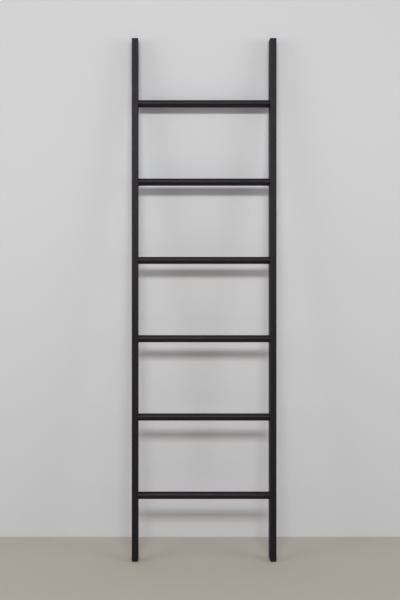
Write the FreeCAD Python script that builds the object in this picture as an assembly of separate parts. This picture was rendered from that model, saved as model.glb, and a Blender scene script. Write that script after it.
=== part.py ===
import FreeCAD, Part
import math
import os

# A towel ladder that leans against a wall: two rails of black lacquered ash, turned
# rungs whose tenons run through the rails and are wedged, and rubber pads where the
# ladder meets floor and wall.
# X runs across the ladder, Y runs towards the wall and Z is up, all in millimetres.
# The floor is Z = 0. The origin lies on the floor, in the middle of the space that
# the ladder takes between its front and the wall.
# Rails and rungs are made upright, with the rails along Z, and then leant back.

# How the ladder stands
lean_degrees = 4.8
clear_width = 453.5          # between the inner faces of the rails

# Rungs along the rails, measured on the rail's centre line
rung_count = 6
lowest_rung_reach = 223.0    # from the floor to the lowest rung
rung_pitch = 271.2
rail_head = 221.0            # from the top rung to the rail's top end

# Rail
rail_width = 22.0
rail_depth = 35.0
rail_edge_radius = 1.5
wall_seat_length = 60.0      # the bevel at the rail's head that lies along the wall

# Rung, with a turned tenon at each end that runs through the rail
rung_diameter = 25.0
rung_shoulder_ease = 0.5
tenon_diameter = 18.0
tenon_clearance = 0.1        # all round, between the tenon and the rail

# Wedge, driven from outside into a kerf sawn across the tenon
kerf_width = 1.2
kerf_root = 5.0              # wood left uncut between the shoulder and the kerf
wedge_head_thickness = 2.6
wedge_tip_room = 2.0         # kerf left open past the wedge's tip

# Rubber pads under the feet and behind the heads of the rails
foot_pad_thickness = 2.5
wall_pad_thickness = 1.5
pad_margin = 0.5             # bare wood left round a pad, inside the rail's eased edges
pad_corner_radius = 3.0
pad_groove_width = 2.0
pad_groove_depth = 0.8
pad_groove_pitch = 5.0

# How far a cutting tool runs past the wood
overrun = 5.0

# Two points nearer to each other than this are one point
same_place = 0.01

# Sizes that follow
rail_length = lowest_rung_reach + rung_pitch * (rung_count - 1) + rail_head
lean = math.radians(lean_degrees)
half_clear = clear_width / 2
half_depth = rail_depth / 2
rung_radius = rung_diameter / 2
tenon_radius = tenon_diameter / 2
rail_face = half_clear + rail_width      # the rail's outer face
kerf_bottom = half_clear + kerf_root
wedge_tip = kerf_bottom + wedge_tip_room
tenon_spread = (wedge_head_thickness - kerf_width) / 2      # each way, at the outer face
spread_degrees = math.degrees(math.atan(tenon_spread / (rail_face - kerf_bottom)))

across = FreeCAD.Vector(1, 0, 0)
front_to_back = FreeCAD.Vector(0, 1, 0)
centre = FreeCAD.Vector(0, 0, 0)
full_turn = 360
quarter_turn = 90


# Places on the ladder

def upright_place(along, behind):
    """A point of the upright ladder's side view: along the rail and behind its centre line."""
    return FreeCAD.Vector(0, behind, along)


def level_place(height, behind):
    """The upright point that comes to a height above the floor once the ladder leans."""
    return upright_place((height + behind * math.sin(lean)) / math.cos(lean), behind)


def leant(shape_or_place):
    """A shape or a point of the upright ladder, leant back to the wall."""
    turn = FreeCAD.Rotation(across, -lean_degrees)
    if isinstance(shape_or_place, FreeCAD.Vector):
        return turn.multVec(shape_or_place)
    return shape_or_place.transformed(FreeCAD.Placement(centre, turn).toMatrix())


def level_and_plumb(level_with, plumb_with):
    """The upright point that, once leant, is as high as one point and as far back as another."""
    place = FreeCAD.Vector(0, leant(plumb_with).y, leant(level_with).z)
    return FreeCAD.Rotation(across, lean_degrees).multVec(place)


# The corners of a rail's side view, upright
foot_front = level_place(foot_pad_thickness, -half_depth)
foot_rear = level_place(foot_pad_thickness, half_depth)
seat_low = upright_place(rail_length - wall_seat_length, half_depth)
head_front = upright_place(rail_length, -half_depth)
seat_high = level_and_plumb(head_front, seat_low)
wall_y = leant(seat_low).y + wall_pad_thickness
middle_y = (leant(foot_front).y + wall_y) / 2


# Shapes that several pieces share

def filled(points):
    """A flat face inside a closed run of straight lines."""
    return Part.Face(Part.makePolygon(points + points[:1]))


def turned(outline):
    """A solid of revolution about the X axis; its outline is a list of (x, radius)."""
    return filled([FreeCAD.Vector(x, 0, radius) for x, radius in outline]).revolve(
        centre, across, full_turn
    )


def mirrored(shape):
    """The same piece on the other side of the ladder."""
    return shape.mirror(centre, across)


def at_rung(shape, number):
    """A shape made round the X axis, moved up the upright ladder to a rung and leant."""
    along = lowest_rung_reach + number * rung_pitch
    moved = shape.translated(upright_place(along, 0))
    return leant(moved)


# Wedged tenons

def spread_round(radius, start, end):
    """A round bar along X that parts into two at the kerf's bottom, as a wedge spreads a tenon."""
    bars = [Part.makeCylinder(radius, kerf_bottom - start, across * start, across)]
    for tilt in (-spread_degrees, spread_degrees):
        half = Part.makeCylinder(radius, end - kerf_bottom, across * kerf_bottom, across)
        half.rotate(across * kerf_bottom, front_to_back, tilt)
        bars.append(half)
    return bars[0].fuse(bars[1:])


def spread_kerf(start, end):
    """The taper that a wedge opens: across a tenon, as wide as the saw at the kerf's bottom."""
    corners = []
    for side in (-1, 1):
        for x in sorted((start, end), reverse=side > 0):
            spread = tenon_spread * (x - kerf_bottom) / (rail_face - kerf_bottom)
            corners.append(FreeCAD.Vector(x, 0, side * (kerf_width / 2 + spread)))
    reach = front_to_back * (tenon_radius + overrun)
    return filled(corners).translated(-reach).extrude(2 * reach)


def sawn_flush(shape):
    """A shape round the X axis, cut off at the right rail's outer face."""
    waste = Part.makeCylinder(rung_diameter, 2 * overrun, across * rail_face, across)
    return shape.cut(waste)


def right_wedge():
    """A wedge driven home, its ends as round as the tenon."""
    blank = spread_kerf(wedge_tip, rail_face)
    return blank.common(spread_round(tenon_radius, half_clear, rail_face + overrun))


def right_tenon():
    """A tenon, sawn across and spread by its wedge."""
    tenon = spread_round(tenon_radius, half_clear - overrun, rail_face + overrun)
    return sawn_flush(tenon.cut(spread_kerf(kerf_bottom, rail_face + overrun)))


def rung():
    """A turned rung, with shoulders that seat on the rails and a tenon through each of them."""
    bar = turned([
        (-half_clear, 0),
        (-half_clear, rung_radius - rung_shoulder_ease),
        (-half_clear + rung_shoulder_ease, rung_radius),
        (half_clear - rung_shoulder_ease, rung_radius),
        (half_clear, rung_radius - rung_shoulder_ease),
        (half_clear, 0),
    ])
    return bar.fuse([right_tenon(), mirrored(right_tenon())]).removeSplitter()


# Rails

def rail_blank():
    """A rail with its foot and head cut level, its head's back plumb and its edges eased."""
    side = filled([foot_front, foot_rear, seat_low, seat_high, head_front])
    blank = side.extrude(across * rail_width)
    slight_break = seat_low + across * (rail_width / 2)
    eased = [edge for edge in blank.Edges if not is_at(edge, slight_break)]
    blank = blank.makeFillet(rail_edge_radius, eased)
    return leant(blank.translated(across * half_clear))


def is_at(edge, place):
    """Whether a straight edge has its middle at a place."""
    return edge.CenterOfMass.isEqual(place, same_place)


def right_rail():
    rail = rail_blank()
    mortise = spread_round(tenon_radius + tenon_clearance, half_clear - overrun, rail_face + overrun)
    for number in range(rung_count):
        rail = rail.cut(at_rung(mortise, number))
    return rail


# Pads

def pad(width, length, thickness):
    """A grooved rubber pad, lying on Z = 0 with its grooves below and centred on the origin."""
    corner = FreeCAD.Vector(-width / 2, -length / 2, 0)
    block = Part.makeBox(width, length, thickness, corner)
    upright = [edge for edge in block.Edges if edge.BoundBox.ZLength > thickness / 2]
    block = block.makeFillet(pad_corner_radius, upright)
    for groove_middle in groove_middles(length):
        start = FreeCAD.Vector(
            -width / 2 - overrun,
            groove_middle - pad_groove_width / 2,
            -overrun,
        )
        groove = Part.makeBox(
            width + 2 * overrun,
            pad_groove_width,
            pad_groove_depth + overrun,
            start,
        )
        block = block.cut(groove)
    return block


def groove_middles(length):
    """Where the grooves cross a pad: clear of its round corners, with a land in the middle."""
    pairs = int((length / 2 - pad_corner_radius) / pad_groove_pitch)
    steps = [(pair + 1 / 2) * pad_groove_pitch for pair in range(pairs)]
    return [-step for step in reversed(steps)] + steps


def pad_on(end, other_end, thickness):
    """A pad that fits inside the eased edges of a rail's flat between two places."""
    edge_room = 2 * (rail_edge_radius + pad_margin)
    return pad(rail_width - edge_room, (other_end - end).Length - edge_room, thickness)


def right_foot_pad():
    """The pad between the level foot of a rail and the floor."""
    piece = pad_on(foot_front, foot_rear, foot_pad_thickness)
    middle = leant((foot_front + foot_rear) / 2)
    return piece.translated(FreeCAD.Vector(half_clear + rail_width / 2, middle.y, 0))


def right_wall_pad():
    """The pad between the bevelled head of a rail and the wall."""
    piece = pad_on(seat_low, seat_high, wall_pad_thickness)
    piece.rotate(centre, across, quarter_turn)
    middle = leant((seat_low + seat_high) / 2)
    return piece.translated(FreeCAD.Vector(half_clear + rail_width / 2, wall_y, middle.z))


# The whole ladder

def all_pieces():
    """Every piece by its name. Rungs are counted from the bottom."""
    pieces = {}
    right_pieces = {
        "rail": right_rail(),
        "foot_pad": right_foot_pad(),
        "wall_pad": right_wall_pad(),
    }
    for number in range(rung_count):
        pieces["rung_%d" % (number + 1)] = at_rung(rung(), number)
        right_pieces["wedge_%d" % (number + 1)] = at_rung(right_wedge(), number)
    for name, shape in right_pieces.items():
        pieces["right_" + name] = shape
        pieces["left_" + name] = mirrored(shape)
    return pieces


os.makedirs("parts", exist_ok=True)
for name, shape in all_pieces().items():
    shape.translate(FreeCAD.Vector(0, -middle_y, 0))
    shape.exportStep("parts/" + name + ".step")
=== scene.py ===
# %% [markdown]
# # A towel ladder in black lacquered ash
# Two slim rails lean against a wall and carry six round rungs. Each rung is turned in one
# piece with a tenon at either end. The tenons run right through the rails, and a wedge driven
# from outside spreads each of them so that it can't pull out. Rubber pads keep the feet from
# sliding and the heads from marking the wall.
#
# The construction was made first and comes in as a frame of plain solids. Here each piece gets
# the surface that a hand would feel: eased arrises, open grain, and a thin coat of lacquer.

# %% Load the frame
import math

import bmesh
import bpy
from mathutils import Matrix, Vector


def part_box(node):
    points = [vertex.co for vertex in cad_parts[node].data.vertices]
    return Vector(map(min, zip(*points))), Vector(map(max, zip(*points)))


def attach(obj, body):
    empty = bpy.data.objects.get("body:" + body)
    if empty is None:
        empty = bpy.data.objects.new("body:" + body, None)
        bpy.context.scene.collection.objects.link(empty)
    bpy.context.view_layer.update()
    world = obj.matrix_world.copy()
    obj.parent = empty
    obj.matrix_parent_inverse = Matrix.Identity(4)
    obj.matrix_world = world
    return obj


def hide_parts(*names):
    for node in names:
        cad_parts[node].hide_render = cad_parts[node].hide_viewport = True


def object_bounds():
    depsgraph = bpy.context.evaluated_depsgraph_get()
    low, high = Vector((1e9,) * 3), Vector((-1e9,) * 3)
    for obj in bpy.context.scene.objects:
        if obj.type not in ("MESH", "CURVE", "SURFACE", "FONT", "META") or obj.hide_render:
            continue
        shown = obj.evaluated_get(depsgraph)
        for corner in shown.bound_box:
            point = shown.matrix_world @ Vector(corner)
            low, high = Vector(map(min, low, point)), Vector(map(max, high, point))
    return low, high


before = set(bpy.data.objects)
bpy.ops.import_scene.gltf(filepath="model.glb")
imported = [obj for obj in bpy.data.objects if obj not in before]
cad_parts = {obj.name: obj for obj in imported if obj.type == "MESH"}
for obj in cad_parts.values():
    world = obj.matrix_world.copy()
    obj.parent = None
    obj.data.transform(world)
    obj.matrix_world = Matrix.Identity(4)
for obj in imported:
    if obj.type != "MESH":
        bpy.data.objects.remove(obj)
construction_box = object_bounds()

print("nodes in the frame:", len(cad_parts))
rounded_box = [tuple(round(value, 4) for value in corner) for corner in construction_box]
print("construction box:", rounded_box)

# %% [markdown]
# ## Read the sizes off the construction
# A joiner measures a carcass before fitting anything to it. The boxes round the rungs say
# where they sit and how far the ladder leans, and the box round a rail says where its two
# faces are. Only the sizes that no box gives are written down: how deep a rail is,
# where the lowest rung meets it, and what hides inside the joint.

# %% Sizes, in metres
millimetre = 0.001
sides = ("left", "right")
rung_nodes = sorted(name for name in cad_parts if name.startswith("rung"))
wedge_nodes = sorted(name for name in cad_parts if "wedge" in name)


def middle(node):
    """The middle of a node's box."""
    low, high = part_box(node)
    return (low + high) / 2


rung_count = len(rung_nodes)
first_rung = middle(rung_nodes[0])
rung_step = (middle(rung_nodes[-1]) - first_rung) / (rung_count - 1)
lean = math.atan2(rung_step.y, rung_step.z)
rung_low, rung_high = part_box(rung_nodes[0])
rung_radius = (rung_high.y - rung_low.y) / 2
rail_low, rail_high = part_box("right_rail")
half_clear = rail_low.x
rail_face = rail_high.x
rail_width = rail_face - half_clear
rail_depth = 35 * millimetre
wall_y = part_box("right_wall_pad")[1].y
first_rung_reach = 223 * millimetre      # up the rail from the floor to the lowest rung

shoulder_ease = 0.5 * millimetre
tenon_radius = 9 * millimetre
kerf_width = 1.2 * millimetre
kerf_root = 5 * millimetre          # wood left whole between the shoulder and the kerf
wedge_head = 2.6 * millimetre
wedge_tip_room = 2 * millimetre     # kerf left open past the wedge's tip

print("lean %.2f degrees" % math.degrees(lean))
print("rung pitch %.1f mm" % (rung_step.length / millimetre))
print("rails %.1f mm apart" % (2 * half_clear / millimetre))
print("rails %.1f mm wide" % (rail_width / millimetre))

# %% [markdown]
# ## Helpers for node trees
# Both finishes and forms are built from nodes here. A tree made in a script stays readable
# if adding a node, wiring it and setting its values is one line. One helper does that for any
# node, one for sums, and two for what the finishes often need: a soft step and a blend.

# %% Node helpers
def add(tree, kind, wires=None, **settings):
    """Adds a node. Its inputs, by name or number, are wired to a socket or given a value."""
    node = tree.nodes.new(kind)
    for name, value in settings.items():
        setattr(node, name, value)
    for name, value in (wires or {}).items():
        if isinstance(value, bpy.types.NodeSocket):
            tree.links.new(value, node.inputs[name])
        else:
            node.inputs[name].default_value = value
    return node


def calc(tree, operation, *values, clamp=False):
    """A sum on one, two or three numbers."""
    wires = dict(enumerate(values))
    return add(tree, "ShaderNodeMath", wires, operation=operation, use_clamp=clamp).outputs[0]


def eased_step(tree, value, start, end):
    """0 below start, 1 above end and a smooth rise between; falls instead if end is lower."""
    wires = {"Value": value, "From Min": start, "From Max": end}
    step = add(tree, "ShaderNodeMapRange", wires, interpolation_type="SMOOTHSTEP")
    return step.outputs["Result"]


def blended(tree, share, one, other):
    """One colour, going over into the other as share rises from 0 to 1."""
    wires = {0: share, 4: one, 5: other}     # inputs 4 and 5 are the node's pair of vectors
    return add(tree, "ShaderNodeMix", wires, data_type="VECTOR").outputs[1]


print("node helpers: add, calc, eased_step, blended")

# %% [markdown]
# ## Finish: ash, stained black and lacquered
# Ash is a ring-porous wood. Each year's growth starts with a band of open pores and ends in
# dense, smooth wood, so even under a black stain and lacquer long fine pits run along the
# grain, gathered in bands a few millimetres apart. The stain soaks deepest into the pits.
#
# A photo texture would repeat and end at every edge. Here the log itself is described: rings
# round a pith that lies outside the piece, warped by slow noise. Each surface is then a cut
# through that log, so the long faces show stripes and the sawn ends show arcs and dots.
# All lengths in the tree are millimetres, which keeps the numbers close to what can be
# measured on a real board.

# %% Where a point lies in the log
def scaled(tree, vector, scale):
    """A point or a colour, times a number."""
    wires = {0: vector, "Scale": scale}
    return add(tree, "ShaderNodeVectorMath", wires, operation="SCALE").outputs[0]


def log_coordinates(tree, turn, pith):
    """The point in millimetres with the grain along Z, and the same point from the pith."""
    place = add(tree, "ShaderNodeTexCoord").outputs["Object"]
    turned = add(tree, "ShaderNodeMapping", {"Vector": place, "Rotation": turn}).outputs[0]
    point = scaled(tree, turned, 1 / millimetre)
    from_pith = add(tree, "ShaderNodeVectorMath", {0: point, 1: pith}, operation="ADD").outputs[0]
    return point, from_pith


def drawn_out(tree, point, along):
    """The point with the grain's axis shortened, so that a pattern on it grows long there."""
    wires = {0: point, 1: (1, 1, along)}
    return add(tree, "ShaderNodeVectorMath", wires, operation="MULTIPLY").outputs[0]


def clouds(tree, point, per_unit, detail=2):
    """Soft clouds between 0 and 1: their number to a unit of length, and how fine they go."""
    wires = {"Vector": point, "Scale": per_unit, "Detail": detail, "Roughness": 0.5}
    return add(tree, "ShaderNodeTexNoise", wires).outputs[0]


print("units of the log to a metre:", round(1 / millimetre))

# %% [markdown]
# ### Growth rings
# A ring is one year's wood, here about 3 mm of it. Blender has a wave texture that draws rings,
# but it says only how light a point is. The finish also has to know where in its year a point
# lies, because pores open at the year's start. So the distance from the pith is divided by the
# width of a ring, and what is left over after whole years is the place in the year. Slow clouds
# push the distance in and out, because no tree is quite round.

# %% Growth rings
ring_width = 2.8                    # a year's growth, in millimetres
ring_wander = 14.0                  # how far a ring strays from round
wander_clouds, wander_along = 0.05, 0.04
early_wood_ends, early_wood_full = 0.55, 0.1    # in shares of a year's growth
late_wood_starts, late_wood_full = 0.35, 0.95


def growth_rings(tree, from_pith):
    """0 to 1 across each year's growth, from the porous early wood to the dense late wood."""
    wander = clouds(tree, drawn_out(tree, from_pith, wander_along), wander_clouds)
    across = drawn_out(tree, from_pith, 0)
    radius = add(tree, "ShaderNodeVectorMath", {0: across}, operation="LENGTH").outputs["Value"]
    warped = calc(tree, "MULTIPLY_ADD", wander, ring_wander, radius)
    return calc(tree, "FRACT", calc(tree, "DIVIDE", warped, ring_width))


print("rings %.1f mm wide" % ring_width)

# %% [markdown]
# ### Pores
# A pore is a vessel that the plane has cut open: a third of a millimetre wide, and long on a
# face that runs with the grain. Thousands of pits could be modelled, but nobody would see more
# of them than of a bump. Clouds as wide as a pore are drawn out along the grain, and only their
# lightest parts count as open. In early wood more of them do, so there the pores crowd.

# %% Pores
pore_width = 0.30                   # in millimetres, as the next
pore_length = 9.0
closed_share = 0.665                # of the clouds' range that stays closed in late wood
early_share = 0.12                  # of it that opens as well in early wood
pore_crispness = 16.0


def pores(tree, from_pith, ring):
    """1 in an open pore. They crowd in early wood and are few and finer in late wood."""
    early = eased_step(tree, ring, early_wood_ends, early_wood_full)
    grain = drawn_out(tree, from_pith, pore_width / pore_length)
    pits = clouds(tree, grain, 1 / (2 * pore_width), detail=1)
    level = calc(tree, "MULTIPLY_ADD", early, -early_share, closed_share)
    over = calc(tree, "SUBTRACT", pits, level)
    return calc(tree, "MULTIPLY", over, pore_crispness, clamp=True)


print("pores %.1f mm wide and %.1f mm long" % (pore_width, pore_length))

# %% [markdown]
# ### Stain
# Stain is wiped on before the lacquer and never takes evenly. It pools a little here and there,
# dense late wood drinks less of it, and pores hold the most. One flat black would look like
# paint. So the stain's colour is multiplied by a tone that these three things set together.

# %% Stain
uneven_clouds, uneven_along = 0.08, 0.1
darkest_cloud, cloud_range = 0.77, 0.30
late_wood_lift = 0.16
pore_darkening = 0.55


def stained(tree, point, stain, late, open_pore):
    """The stain in the wood: late wood takes it a little lighter, pores hold it darkest."""
    uneven = clouds(tree, drawn_out(tree, point, uneven_along), uneven_clouds, detail=3)
    tone = calc(tree, "MULTIPLY_ADD", uneven, cloud_range, darkest_cloud)
    tone = calc(tree, "MULTIPLY_ADD", late, late_wood_lift, tone)
    in_pores = calc(tree, "MULTIPLY_ADD", open_pore, -pore_darkening, 1.0)
    return scaled(tree, stain, calc(tree, "MULTIPLY", tone, in_pores))


print("tone of the stain: %.2f to %.2f" % (darkest_cloud, darkest_cloud + cloud_range))

# %% [markdown]
# ### Sheen and relief
# Satin lacquer is a thin film that follows the wood. It sinks into the pores, where it looks
# dull, and no brush lays it quite level. On something this black, almost all that the eye gets
# is light off the film, so the sheen deserves as much care as the colour. Roughness says how
# sharp a reflection is, and a bump bends it, here with every height given in millimetres.

# %% Sheen and relief
film_clouds, film_dulling = 0.03, 0.12
pore_dulling = 0.22
late_wood_gloss = 0.05
pore_depth = 0.11                   # in millimetres, as the next two
late_wood_rise = 0.025
ripple_rise = 0.020
ripple_clouds = 0.45


def satin_sheen(tree, point, dullness, late, open_pore):
    """Roughness: duller in the pores and where the film lies thin."""
    film = clouds(tree, point, film_clouds, detail=3)
    satin = calc(tree, "MULTIPLY_ADD", film, film_dulling, dullness)
    satin = calc(tree, "MULTIPLY_ADD", open_pore, pore_dulling, satin)
    return calc(tree, "MULTIPLY_ADD", late, -late_wood_gloss, satin)


def wood_relief(tree, point, late, open_pore):
    """Pits of the pores, soft bands of the rings, and the lacquer's own faint ripple."""
    ripple = clouds(tree, point, ripple_clouds, detail=1)
    height = calc(tree, "MULTIPLY", open_pore, -pore_depth)
    height = calc(tree, "MULTIPLY_ADD", late, late_wood_rise, height)
    return calc(tree, "MULTIPLY_ADD", ripple, ripple_rise, height)


def raised(tree, height):
    """The surface's normal, bent by a height in millimetres."""
    wires = {"Height": height, "Strength": 1.0, "Distance": millimetre}
    return add(tree, "ShaderNodeBump", wires).outputs[0]


print("pores %.2f mm deep under the lacquer" % pore_depth)

# %% [markdown]
# ## Finish: wear
# Lacquer wears first where hands and towels rub it: along the arrises of the rails and on the
# rims of the rungs' shoulders. Wear painted by hand would have to be painted again after each
# change. These masks measure how near a point lies to an edge, from the same sizes as the
# pieces. Cloudy patches break the line up, so that it looks handled and not drawn.

# %% Where hands rub the lacquer thin
patch_softness = 0.24
arris_wear, arris_worn_out = 1.3, 0.3       # millimetres in from the edge
arris_clouds, arris_along, arris_start = 0.12, 0.12, 0.42
rim_wear, rim_worn_out = 1.6, 0.4
rim_clouds, rim_start = 0.15, 0.38


def patches(tree, point, per_unit, start):
    """Patches of 1 in a field of 0, where the clouds are lighter than start."""
    cloud = clouds(tree, point, per_unit, detail=4)
    return eased_step(tree, cloud, start, start + patch_softness)


def rubbed_arrises(tree, point):
    """1 along the long edges of the rails, in patches."""
    x, y, _ = add(tree, "ShaderNodeSeparateXYZ", {0: point}).outputs
    rail_middle = (half_clear + rail_width / 2) / millimetre
    rail_line = (first_rung.y * math.cos(lean) - first_rung.z * math.sin(lean)) / millimetre
    from_middle = calc(tree, "SUBTRACT", calc(tree, "ABSOLUTE", x), rail_middle)
    sideways = calc(tree, "ABSOLUTE", from_middle)
    backwards = calc(tree, "ABSOLUTE", calc(tree, "SUBTRACT", y, rail_line))
    half_width = rail_width / 2 / millimetre
    half_depth = rail_depth / 2 / millimetre
    near_side = eased_step(tree, sideways, half_width - arris_wear, half_width - arris_worn_out)
    near_face = eased_step(tree, backwards, half_depth - arris_wear, half_depth - arris_worn_out)
    on_arris = calc(tree, "MULTIPLY", near_side, near_face)
    patchy = patches(tree, drawn_out(tree, point, arris_along), arris_clouds, arris_start)
    return calc(tree, "MULTIPLY", on_arris, patchy)


def rubbed_shoulders(tree, point):
    """1 on the rims of the rungs' shoulders, in patches. Z is the grain's way, so the rung's."""
    along_rung = add(tree, "ShaderNodeSeparateXYZ", {0: point}).outputs["Z"]
    from_middle = calc(tree, "ABSOLUTE", along_rung)
    shoulder = half_clear / millimetre
    on_rim = eased_step(tree, from_middle, shoulder - rim_wear, shoulder - rim_worn_out)
    return calc(tree, "MULTIPLY", on_rim, patches(tree, point, rim_clouds, rim_start))


print("wear reaches %.1f mm in from an arris" % arris_wear)

# %% [markdown]
# ### The finish put together
# Stain, sheen and relief now meet in one shader. Wear comes last, as on the real ladder: where
# the film is rubbed thin, brown wood shows through, and what is left of the film is polished.
# A material for each kind of piece would repeat all this three times. One function is enough,
# because they differ only in stain and dullness, in the grain's direction and in wear.

# %% The lacquered ash itself
lacquer_gloss = 0.26
lacquer_tint = (1.0, 0.93, 1.0, 1.0)        # the black has a breath of violet in it
brown_tint = (1.15, 1.0, 0.8)
brown_lift = 4.5                    # how much lighter than the stain the worn wood shows
brown_share = 0.55
rubbed_gloss = 0.06


def lacquered_ash(name, turn, pith, stain, dullness, worn=None):
    """Black ash under satin lacquer. worn, if given, makes a mask of where hands rub it thin."""
    material = bpy.data.materials.new(name)
    material.use_nodes = True
    tree = material.node_tree
    shader = tree.nodes["Principled BSDF"]
    shader.inputs["Specular IOR Level"].default_value = lacquer_gloss
    shader.inputs["Specular Tint"].default_value = lacquer_tint

    point, from_pith = log_coordinates(tree, turn, pith)
    ring = growth_rings(tree, from_pith)
    open_pore = pores(tree, from_pith, ring)
    late = eased_step(tree, ring, late_wood_starts, late_wood_full)
    colour = stained(tree, point, stain, late, open_pore)
    satin = satin_sheen(tree, point, dullness, late, open_pore)
    if worn:
        rubbed = worn(tree, point)
        brown = tuple(brown_lift * tint * share for tint, share in zip(brown_tint, stain))
        colour = blended(tree, calc(tree, "MULTIPLY", rubbed, brown_share), colour, brown)
        satin = calc(tree, "MULTIPLY_ADD", rubbed, -rubbed_gloss, satin)
    normal = raised(tree, wood_relief(tree, point, late, open_pore))
    tree.links.new(colour, shader.inputs["Base Color"])
    tree.links.new(satin, shader.inputs["Roughness"])
    tree.links.new(normal, shader.inputs["Normal"])
    return material


print("gloss of the lacquer:", lacquer_gloss)

# %% [markdown]
# ### Rails, rungs and wedges
# A stick is strong only along its grain, so the grain runs up a rail, along a rung, and from a
# wedge's head to its tip. The turn lays it that way. The pith's place says where in the log the
# piece was sawn: the farther off it lies, the straighter the rings. Looking along the grain at
# an end, the eye tells two boards apart by their rings, so a wedge's rings cross its rung's.

# %% One finish for each kind of piece
black_stain = (0.0066, 0.0054, 0.0070)
wedge_stain = (0.0215, 0.0175, 0.0155)      # the wedge's dense end grain drinks less stain
up_the_rail = (lean, 0, 0)
along_the_rung = (lean, -math.pi / 2, 0)
ring_crossing = math.radians(70)    # between the wedge's rings and the rung's
wedge_board = (lean - ring_crossing, -math.pi / 2, 0)
rail_pith, rung_pith, wedge_pith = (60, 38, 0), (31, 17, 0), (9, 52, 30)

rail_finish = lacquered_ash("rail_lacquer_on_ash", up_the_rail, rail_pith, black_stain,
                            dullness=0.50, worn=rubbed_arrises)
rung_finish = lacquered_ash("rung_lacquer_on_ash", along_the_rung, rung_pith, black_stain,
                            dullness=0.40, worn=rubbed_shoulders)
wedge_finish = lacquered_ash("wedge_lacquer_on_ash", wedge_board, wedge_pith, wedge_stain,
                             dullness=0.64)
print("finishes:", rail_finish.name, rung_finish.name, wedge_finish.name)

# %% [markdown]
# ## Finish: rubber
# The pads are plain black rubber: matt, a little greyer than the lacquer, with a fine pitted
# skin from the mould and pale dust that settles unevenly. One even grey would look like
# plastic. Two layers of clouds are enough: one for the skin, and one for the dust, which both
# lightens and dulls what it lies on.

# %% Pad rubber
dust_clouds = 0.25
dust_starts, dust_full = 0.45, 0.75
clean_rubber, dusty_rubber = 0.022, 0.040
rubber_dullness, dust_dulling = 0.72, 0.12
skin_clouds, skin_depth = 3.0, 0.05


def pad_rubber():
    """Matt black rubber, its skin pitted and its dust uneven."""
    material = bpy.data.materials.new("pad_rubber_matt")
    material.use_nodes = True
    tree = material.node_tree
    shader = tree.nodes["Principled BSDF"]
    point, _ = log_coordinates(tree, (0, 0, 0), (0, 0, 0))
    settled_dust = clouds(tree, point, dust_clouds, detail=5)
    dust = eased_step(tree, settled_dust, dust_starts, dust_full)
    shades = {"Value": dust, "To Min": clean_rubber, "To Max": dusty_rubber}
    grey = add(tree, "ShaderNodeMapRange", shades).outputs["Result"]
    dull = calc(tree, "MULTIPLY_ADD", dust, dust_dulling, rubber_dullness)
    pits = clouds(tree, point, skin_clouds, detail=3)
    skin = calc(tree, "MULTIPLY", pits, skin_depth)
    tree.links.new(grey, shader.inputs["Base Color"])
    tree.links.new(dull, shader.inputs["Roughness"])
    tree.links.new(raised(tree, skin), shader.inputs["Normal"])
    return material


rubber = pad_rubber()
print("finish:", rubber.name)

# %% [markdown]
# ## Plain meshes from live ones
# A modifier or a node tree is a recipe. Other programs want the finished dish, so every piece
# is evaluated once and swapped for a plain mesh, with its recipe taken off.

# %% Bake a recipe into its mesh
def settled(piece):
    """The piece with its modifiers worked out and removed."""
    graph = bpy.context.evaluated_depsgraph_get()
    mesh = bpy.data.meshes.new_from_object(piece.evaluated_get(graph))
    mesh.name = piece.name
    piece.modifiers.clear()
    piece.data = mesh
    return piece


def new_piece(name, mesh, material):
    """A piece at the origin, with its place in its mesh and one material."""
    piece = bpy.data.objects.new(name, mesh)
    bpy.context.scene.collection.objects.link(piece)
    mesh.materials.clear()
    mesh.materials.append(material)
    return piece


def faces_of(piece):
    """How many faces a piece has."""
    return len(piece.data.polygons)


# %% [markdown]
# ## Rails
# A rail is a straight stick, sawn from a board, planed to 22 by 35 mm, with its arrises
# rounded over so that they don't bruise a shoulder or chip the lacquer. The construction has
# this shape already, mortises and bevelled head included, so the rail could simply be shown.
# But its mesh is loose triangles, which can't be smoothed across. Joining them and dissolving
# the flat ones gives broad faces with a true rounded edge between, and normals weighted by
# area keep the broad faces from bowing in the light.

# %% Joined copies of construction pieces
weld = 0.001 * millimetre
flat_angle = math.radians(0.4)
crease_angle = math.radians(28)
ease_segments = 2


def joined_copy(node, name, material):
    """A node's surface as one closed mesh, with flats in one face where they can be."""
    source = bmesh.new()
    source.from_mesh(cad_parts[node].data)
    bmesh.ops.remove_doubles(source, verts=source.verts, dist=weld)
    bmesh.ops.dissolve_limit(source, angle_limit=flat_angle, verts=source.verts, edges=source.edges)
    source.verts.index_update()
    corners = [vertex.co.copy() for vertex in source.verts]
    outlines = [[vertex.index for vertex in face.verts] for face in source.faces]
    source.free()
    mesh = bpy.data.meshes.new(name)
    mesh.from_pydata(corners, [], outlines)
    return new_piece(name, mesh, material)


def edges_eased(piece, width, angle):
    """Rounds off every edge that turns by more than an angle."""
    bevel = piece.modifiers.new("eased edges", "BEVEL")
    bevel.width = width
    bevel.segments = ease_segments
    bevel.limit_method = "ANGLE"
    bevel.angle_limit = angle
    return settled(piece)


def smoothed(piece):
    """Smooth over rounded edges, crisp at corners, flat on the flats."""
    piece.data.shade_smooth()
    piece.data.set_sharp_from_angle(angle=crease_angle)
    weighting = piece.modifiers.new("weighted normals", "WEIGHTED_NORMAL")
    weighting.keep_sharp = True
    return settled(piece)


print("loose triangles in a rail:", len(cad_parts["right_rail"].data.polygons))

# %% The two rails
mortise_rim = 0.35 * millimetre
rim_angle = math.radians(60)

for side in sides:
    node = side + "_rail"
    rail = joined_copy(node, side + "_rail_lacquered", rail_finish)
    rail = smoothed(edges_eased(rail, mortise_rim, rim_angle))
    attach(rail, "root")
    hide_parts(node)
    print(rail.name, "faces:", faces_of(rail))

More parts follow.
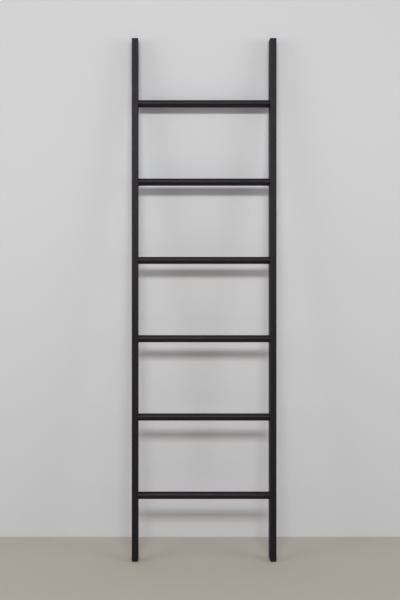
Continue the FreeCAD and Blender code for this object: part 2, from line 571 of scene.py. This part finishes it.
# %% [markdown]
# ## Rungs, by Geometry Nodes
# All six rungs are alike, so one recipe makes them: turn a bar to an outline of stations and
# radii, saw a kerf into each tenon, open the kerf as its wedge will, and set the bar at six
# even steps up the ladder. Modelling one rung and copying it by hand would give the same
# picture, but here the outline stays a list of named sizes, and a thicker rung or a wider
# ladder is one number away.
#
# The kerf is cut straight, as a saw does. Then every point past the kerf's bottom moves away
# from the middle in proportion to its distance: that is the wedge's work on the wood.

# %% The sizes that the recipes share
round_sides = 72


def sized_tree(name, sizes):
    """A new recipe with a named input for every size, and its inputs' sockets."""
    tree = bpy.data.node_groups.new(name, "GeometryNodeTree")
    tree.is_modifier = True
    tree.interface.new_socket("Geometry", in_out="OUTPUT", socket_type="NodeSocketGeometry")
    kinds = {int: "NodeSocketInt", float: "NodeSocketFloat", Vector: "NodeSocketVector"}
    for label, value in sizes.items():
        tree.interface.new_socket(label, in_out="INPUT", socket_type=kinds[type(value)])
    return tree, tree.nodes.new("NodeGroupInput").outputs


def run_recipe(tree, sizes, name, material):
    """Makes a piece from a recipe: its sizes are set by socket, then it is worked out."""
    piece = new_piece(name, bpy.data.meshes.new(name), material)
    modifier = piece.modifiers.new(tree.name, "NODES")
    modifier.node_group = tree
    for item in tree.interface.items_tree:
        if item.in_out == "INPUT":
            modifier[item.identifier] = sizes[item.name]
    piece.data.update()
    return settled(piece)


joint_sizes = {
    "Rungs": rung_count,
    "First rung": first_rung,
    "Step": rung_step,
    "Lean": lean,
    "Half clear": half_clear,
    "Rail face": rail_face,
    "Rung radius": rung_radius,
    "Shoulder ease": shoulder_ease,
    "Tenon radius": tenon_radius,
    "Kerf width": kerf_width,
    "Kerf bottom": half_clear + kerf_root,
    "Wedge tip": half_clear + kerf_root + wedge_tip_room,
    "Spread": (wedge_head - kerf_width) / 2,
    "Round sides": round_sides,
}
print("sizes in a recipe:", len(joint_sizes))

# %% [markdown]
# ### Turn a bar
# A turner works from a list of diameters along the blank. Here a line of points stands for the
# blank. Each point takes its place and its radius from such a list, and a circle is swept along
# the line. Stacked cylinders would have to be joined first; a sweep gives one closed skin.

# %% Turn a bar
hair = 0.01 * millimetre            # keeps the two rings of a shoulder apart


def picked(tree, index, values):
    """Picks a value out of a list by its number."""
    pick = add(tree, "GeometryNodeIndexSwitch", {"Index": index}, data_type="FLOAT")
    while len(pick.index_switch_items) < len(values):
        pick.index_switch_items.new()
    for number, value in enumerate(values):
        tree.links.new(value, pick.inputs[number + 1])
    return pick.outputs[0]


def turned_bar(tree, stations, sides_round):
    """A solid of revolution along X through a list of (distance along X, radius)."""
    line = add(tree, "GeometryNodeMeshLine", {"Count": len(stations)})
    index = add(tree, "GeometryNodeInputIndex").outputs[0]
    distance, radius = [picked(tree, index, values) for values in zip(*stations)]
    place = add(tree, "ShaderNodeCombineXYZ", {"X": distance}).outputs[0]
    laid = add(tree, "GeometryNodeSetPosition", {"Geometry": line.outputs[0], "Position": place})
    curve = add(tree, "GeometryNodeMeshToCurve", {"Mesh": laid.outputs[0]}).outputs[0]
    sized = add(tree, "GeometryNodeSetCurveRadius", {"Curve": curve, "Radius": radius}).outputs[0]
    circle = {"Resolution": sides_round, "Radius": 1.0}
    ring = add(tree, "GeometryNodeCurvePrimitiveCircle", circle).outputs[0]
    swept = {"Curve": sized, "Profile Curve": ring, "Scale": radius, "Fill Caps": True}
    return add(tree, "GeometryNodeCurveToMesh", swept).outputs[0]


def bar_stations(tree, sizes):
    """Tenon, shoulder, bar, shoulder, tenon: where each ring of the bar lies and its radius."""
    half, ease, tenon = sizes["Half clear"], sizes["Shoulder ease"], sizes["Tenon radius"]
    lip = calc(tree, "SUBTRACT", sizes["Rung radius"], ease)
    right = [
        (calc(tree, "SUBTRACT", half, ease), sizes["Rung radius"]),
        (half, lip),
        (calc(tree, "ADD", half, hair), tenon),
        (sizes["Kerf bottom"], tenon),
        (sizes["Rail face"], tenon),
    ]
    left = [(calc(tree, "MULTIPLY", station, -1.0), radius) for station, radius in reversed(right)]
    return left + right


print("sides round a bar:", round_sides)

# %% [markdown]
# ### Saw and wedge
# A saw takes wood away, and a Boolean with a thin box does the same. A wedge takes nothing away
# but pushes the wood aside, so for that the points themselves move. How far follows from where
# each of them is. A second Boolean with a tapered box would look alike at the outer face, but
# it would thin the tenon instead of spreading it, and the flared mortise would stand empty.

# %% Saw and wedge
saw_radii = 3.0                     # how wide the saw cuts, in tenon radii: past the tenon


def slabs(tree, sizes, start, thickness):
    """Two thin boxes across the bar, one at each end, from a station to past the rail's face."""
    end = calc(tree, "ADD", sizes["Rail face"], sizes["Tenon radius"])
    width = calc(tree, "MULTIPLY", sizes["Tenon radius"], saw_radii)
    length = calc(tree, "SUBTRACT", end, start)
    size = add(tree, "ShaderNodeCombineXYZ", {"X": length, "Y": width, "Z": thickness}).outputs[0]
    box = add(tree, "GeometryNodeMeshCube", {"Size": size}).outputs[0]
    join = tree.nodes.new("GeometryNodeJoinGeometry")
    middle_station = calc(tree, "MULTIPLY", calc(tree, "ADD", start, end), 0.5)
    for sign in (-1.0, 1.0):
        at = calc(tree, "MULTIPLY", middle_station, sign)
        shift = add(tree, "ShaderNodeCombineXYZ", {"X": at}).outputs[0]
        moved = add(tree, "GeometryNodeTransform", {"Geometry": box, "Translation": shift})
        tree.links.new(moved.outputs[0], join.inputs[0])
    return join.outputs[0]


def spread(tree, geometry, sizes, share_of_height):
    """Opens the tenons past the kerf's bottom, as a wedge does."""
    position = add(tree, "GeometryNodeInputPosition").outputs[0]
    x, _, z = add(tree, "ShaderNodeSeparateXYZ", {0: position}).outputs
    past = calc(tree, "SUBTRACT", calc(tree, "ABSOLUTE", x), sizes["Kerf bottom"])
    length = calc(tree, "SUBTRACT", sizes["Rail face"], sizes["Kerf bottom"])
    rise = calc(tree, "DIVIDE", calc(tree, "MAXIMUM", past, 0.0), length)
    opening = calc(tree, "MULTIPLY", rise, sizes["Spread"])
    lift = calc(tree, "MULTIPLY", opening, share_of_height(z))
    offset = add(tree, "ShaderNodeCombineXYZ", {"Z": lift}).outputs[0]
    moved = {"Geometry": geometry, "Offset": offset}
    return add(tree, "GeometryNodeSetPosition", moved).outputs[0]


print("a wedge opens its tenon by %.1f mm each way" % (joint_sizes["Spread"] / millimetre))

# %% [markdown]
# ### Up the ladder
# The rungs are alike and evenly spaced, and so are their wedges. A line of points marks the
# places, and an instance of the shape is set at each of them and turned by the lean. Instances
# are cheap, but an export wants true mesh, so they are made real at the end. Edges that turn
# sharply are marked before that: shoulders and kerfs stay crisp while the bar stays smooth.

# %% Set a shape at every rung's place
def up_the_ladder(tree, geometry, sizes, material):
    """Smooths a shape, sets it at every rung's place, makes it real and finishes it."""
    merged = {"Geometry": geometry, "Distance": weld}
    clean = add(tree, "GeometryNodeMergeByDistance", merged).outputs[0]
    angle = add(tree, "GeometryNodeInputMeshEdgeAngle").outputs["Unsigned Angle"]
    limit = {"A": angle, "B": crease_angle}
    sharp = add(tree, "FunctionNodeCompare", limit, operation="GREATER_THAN").outputs[0]
    smooth = add(tree, "GeometryNodeSetShadeSmooth", {"Geometry": clean}, domain="FACE").outputs[0]
    creased = {"Geometry": smooth, "Selection": sharp, "Shade Smooth": False}
    shaded = add(tree, "GeometryNodeSetShadeSmooth", creased, domain="EDGE").outputs[0]
    first, step = sizes["First rung"], sizes["Step"]
    ladder = {"Count": sizes["Rungs"], "Start Location": first, "Offset": step}
    places = add(tree, "GeometryNodeMeshLine", ladder, mode="OFFSET").outputs[0]
    leaning = calc(tree, "MULTIPLY", sizes["Lean"], -1.0)
    angles = add(tree, "ShaderNodeCombineXYZ", {"X": leaning}).outputs[0]
    turn = add(tree, "FunctionNodeEulerToRotation", {0: angles}).outputs[0]
    copies = {"Points": places, "Instance": shaded, "Rotation": turn}
    instances = add(tree, "GeometryNodeInstanceOnPoints", copies).outputs[0]
    real = add(tree, "GeometryNodeRealizeInstances", {"Geometry": instances}).outputs[0]
    made = add(tree, "GeometryNodeSetMaterial", {"Geometry": real, "Material": material}).outputs[0]
    tree.links.new(made, tree.nodes.new("NodeGroupOutput").inputs[0])


print("places up the ladder:", rung_count)

# %% The rungs
rung_tree, rung_sizes = sized_tree("turned rungs", joint_sizes)
bar = turned_bar(rung_tree, bar_stations(rung_tree, rung_sizes), rung_sizes["Round sides"])
kerfs = slabs(rung_tree, rung_sizes, rung_sizes["Kerf bottom"], rung_sizes["Kerf width"])
sawn = add(rung_tree, "GeometryNodeMeshBoolean", {"Mesh 1": bar, "Mesh 2": kerfs},
           operation="DIFFERENCE", solver="EXACT").outputs[0]
opened = spread(rung_tree, sawn, rung_sizes, lambda z: calc(rung_tree, "SIGN", z))
up_the_ladder(rung_tree, opened, rung_sizes, rung_finish)
rungs = run_recipe(rung_tree, joint_sizes, "turned_rungs", rung_finish)
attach(rungs, "root")
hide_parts(*rung_nodes)
print("rungs:", rung_count, "faces:", faces_of(rungs))

# %% [markdown]
# ## Wedges
# A wedge is a slip of hardwood as wide as the tenon, thin at its tip and thick at its head,
# planed flush once the glue has set. Seen from the side, each rung's end shows as a disc with
# the wedge's end as a bar across it, and that is the mark of this joint. A wedge modelled by
# itself would have to be fitted to its kerf. This recipe takes the same bar and the same kerf,
# keeps what they share, and opens it by the same rule, so the two fit by construction.

# %% The wedges
glue_line = 0.1 * millimetre        # on both sides of a wedge together, seen as dark hairs
wedge_tree, wedge_sizes = sized_tree("tenon wedges", joint_sizes)
bar = turned_bar(wedge_tree, bar_stations(wedge_tree, wedge_sizes), wedge_sizes["Round sides"])
slip = calc(wedge_tree, "SUBTRACT", wedge_sizes["Kerf width"], glue_line)
slips = slabs(wedge_tree, wedge_sizes, wedge_sizes["Wedge tip"], slip)
shared = add(wedge_tree, "GeometryNodeMeshBoolean", {"Mesh 2": bar},
             operation="INTERSECT", solver="EXACT")
wedge_tree.links.new(slips, shared.inputs["Mesh 2"])
half_kerf = calc(wedge_tree, "DIVIDE", wedge_sizes["Kerf width"], 2.0)
driven = spread(wedge_tree, shared.outputs[0], wedge_sizes,
                lambda z: calc(wedge_tree, "DIVIDE", z, half_kerf))
up_the_ladder(wedge_tree, driven, wedge_sizes, wedge_finish)
wedges = run_recipe(wedge_tree, joint_sizes, "tenon_wedges", wedge_finish)
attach(wedges, "root")
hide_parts(*wedge_nodes)
print("wedges:", len(wedge_nodes), "faces:", faces_of(wedges))

# %% [markdown]
# ## Pads
# The pads are cut from a grooved rubber sheet. The construction has their grooves and round
# corners, so they could be shown as they are. What it leaves out is that cut rubber is never
# quite sharp. A very small bevel takes the edge off, and that is what catches a line of light
# under the foot.

# %% Foot and wall pads
pad_edge = 0.25 * millimetre

for side in sides:
    for place in ("foot_pad", "wall_pad"):
        node = side + "_" + place
        piece = joined_copy(node, node + "_rubber", rubber)
        piece = smoothed(edges_eased(piece, pad_edge, crease_angle))
        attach(piece, "root")
        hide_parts(node)
        print(piece.name, "faces:", faces_of(piece))

# %% [markdown]
# ## Wall and floor
# A leaning ladder makes no sense without its wall, and the soft shadow that each rung throws
# on it says how far off it stands. Both planes are plain: a pale painted wall and a pale
# floor. The wall shows only from the front, so the ladder's back can be looked at too.

# %% Matt paint
paint_dullness, paint_gloss = 0.9, 0.2
paint_clouds = 1.6                  # to the metre
darkest_paint, paint_range = 0.985, 0.03


def plane(name, corners, material):
    """One flat face."""
    mesh = bpy.data.meshes.new(name)
    mesh.from_pydata(corners, [], [range(len(corners))])
    return new_piece(name, mesh, material)


def matt_paint(name, colour, one_sided=False):
    """A matt surface with a faint uneven tone; one_sided can't be seen from behind."""
    material = bpy.data.materials.new(name)
    material.use_nodes = True
    tree = material.node_tree
    shader = tree.nodes["Principled BSDF"]
    shader.inputs["Roughness"].default_value = paint_dullness
    shader.inputs["Specular IOR Level"].default_value = paint_gloss
    place = add(tree, "ShaderNodeTexCoord").outputs["Object"]
    uneven = clouds(tree, place, paint_clouds, detail=3)
    shade = calc(tree, "MULTIPLY_ADD", uneven, paint_range, darkest_paint)
    tree.links.new(scaled(tree, colour, shade), shader.inputs["Base Color"])
    if one_sided:
        behind = add(tree, "ShaderNodeNewGeometry").outputs["Backfacing"]
        clear = tree.nodes.new("ShaderNodeBsdfTransparent").outputs[0]
        mix = add(tree, "ShaderNodeMixShader", {0: behind, 1: shader.outputs[0], 2: clear})
        tree.links.new(mix.outputs[0], tree.nodes["Material Output"].inputs["Surface"])
    return material


wall_paint = matt_paint("wall_paint", (0.732, 0.741, 0.760), one_sided=True)
floor_paint = matt_paint("floor_paint", (0.50, 0.455, 0.41))
print("paints:", wall_paint.name, floor_paint.name)

# %% The wall and the floor
wall_half, wall_top = 1.5, 2.8
floor_half = 9.0
behind_pads = wall_y + 0.2 * millimetre
under_pads = -0.1 * millimetre

wall = plane("wall", [
    (-wall_half, behind_pads, under_pads),
    (wall_half, behind_pads, under_pads),
    (wall_half, behind_pads, wall_top),
    (-wall_half, behind_pads, wall_top),
], wall_paint)
floor = plane("floor", [
    (-floor_half, -floor_half, under_pads),
    (floor_half, -floor_half, under_pads),
    (floor_half, floor_half, under_pads),
    (-floor_half, floor_half, under_pads),
], floor_paint)
print("wall faces", tuple(wall.data.polygons[0].normal))

# %% [markdown]
# ## Light
# One broad soft lamp hangs in front of the ladder, above its head and slightly to the left.
# It puts a long highlight on every rung and a shadow some way below it. Daylight from windows
# far out to both sides is weaker. It lights the rails' flanks and grazes the wall, where each
# rail leaves a soft shade to either side. A bare point of light would be simpler, but it draws
# hard shadows and a highlight as thin as a wire.

# %% Lamps
def aimed(thing, target):
    """Turns a lamp at its place so that it shines at a point."""
    direction = Vector(target) - thing.location
    thing.rotation_euler = direction.to_track_quat("-Z", "Y").to_euler()


def soft_lamp(name, place, target, power, width, tall):
    """A rectangle of light that shows in reflections but not in the picture itself."""
    light = bpy.data.lights.new(name, "AREA")
    light.shape = "RECTANGLE"
    light.size, light.size_y = width, tall
    light.energy = power
    holder = bpy.data.objects.new(name, light)
    holder.location = place
    holder.visible_camera = False
    aimed(holder, target)
    bpy.context.scene.collection.objects.link(holder)


lamp_height, lamp_distance, lamp_left = 2.62, 2.70, 0.12
lamp_width, lamp_tall = 2.0, 0.47
lamp_power = 56.0
lamp_place = (-lamp_left, wall_y - lamp_distance, lamp_height)
lamp_target = (0, wall_y, -1.6)     # below the floor, which evens the light on the wall
soft_lamp("front_lamp", lamp_place, lamp_target, lamp_power, lamp_width, lamp_tall)

window_out, window_distance, window_height = 4.0, 1.3, 1.4
window_size = 2.0
window_power = 52.0
window_target = (0, wall_y, 1.0)
for side, sign in zip(sides, (-1, 1)):
    window_place = (sign * window_out, wall_y - window_distance, window_height)
    soft_lamp(side + "_window", window_place, window_target, window_power, window_size, window_size)
print("lamp power:", lamp_power, "window power:", window_power)

# %% [markdown]
# ### The room's glow
# The rest of a room sends light back, so no shadow in it is black. An even world does that with
# nothing to model. But the room has to look paler, to the lens and in the lacquer, than the
# light that it gives. Light Path tells the kinds of ray apart: what the lens sees, straight, in
# a reflection or through something clear, gets one strength, and all other light gets the other.

# %% The room's glow
room_glow = 0.19                    # what lights the ladder
seen_glow = 0.58                    # what the lens and the lacquer see of the room

world = bpy.data.worlds.new("room")
bpy.context.scene.world = world
world.use_nodes = True
tree = world.node_tree
rays = add(tree, "ShaderNodeLightPath").outputs
reflected = calc(tree, "MAXIMUM", rays["Is Glossy Ray"], rays["Is Transmission Ray"])
seen = calc(tree, "MAXIMUM", rays["Is Camera Ray"], reflected)
strength = calc(tree, "MULTIPLY_ADD", seen, seen_glow - room_glow, room_glow)
backdrop = tree.nodes["Background"]
backdrop.inputs["Color"].default_value = (1.0, 1.0, 1.0, 1.0)
tree.links.new(strength, backdrop.inputs["Strength"])
print("room glow:", room_glow, "seen glow:", seen_glow)

# %% [markdown]
# ## Camera
# A lens that looks up or down at a ladder makes its rails converge. So the camera is turned
# square to the ladder, leaning as it does, and the rails stay parallel. It stands a little
# left of the ladder's middle. Each rail therefore shows a sliver of its inner side, the right
# one more than the left. A shift of the lens puts the ladder where it belongs in the frame.

# %% The photographer's place
frame_long = 600                    # pixels along the frame's long side
film_long = 36                      # millimetres of film along it
focal_pixels = 593.0                # from the lens to the film, in the frame's pixels
aim_along = 899.5 * millimetre      # how far up the ladder the lens points
stand_off = 2037 * millimetre       # from the rails' front faces to the lens
camera_left = 118.0 * millimetre
sideways_pixels = 30.2              # from the lens's axis to the middle of the frame

up_ladder = Vector((0, math.sin(lean), math.cos(lean)))
out_of_ladder = Vector((0, -math.cos(lean), math.sin(lean)))
foot_of_line = first_rung - up_ladder * first_rung_reach
aim = foot_of_line + up_ladder * aim_along + out_of_ladder * (rail_depth / 2)
camera_data = bpy.data.cameras.new("camera")
camera_data.sensor_width = film_long
camera_data.lens = film_long * focal_pixels / frame_long
camera_data.shift_x = sideways_pixels / frame_long
camera = bpy.data.objects.new("camera", camera_data)
camera.location = aim + out_of_ladder * stand_off + Vector((-camera_left, 0, 0))
camera.rotation_euler = (math.pi / 2 - lean, 0, 0)
bpy.context.scene.collection.objects.link(camera)
bpy.context.scene.camera = camera
bpy.context.scene.view_settings.view_transform = "Standard"
print("camera at", tuple(round(value, 3) for value in camera.location))
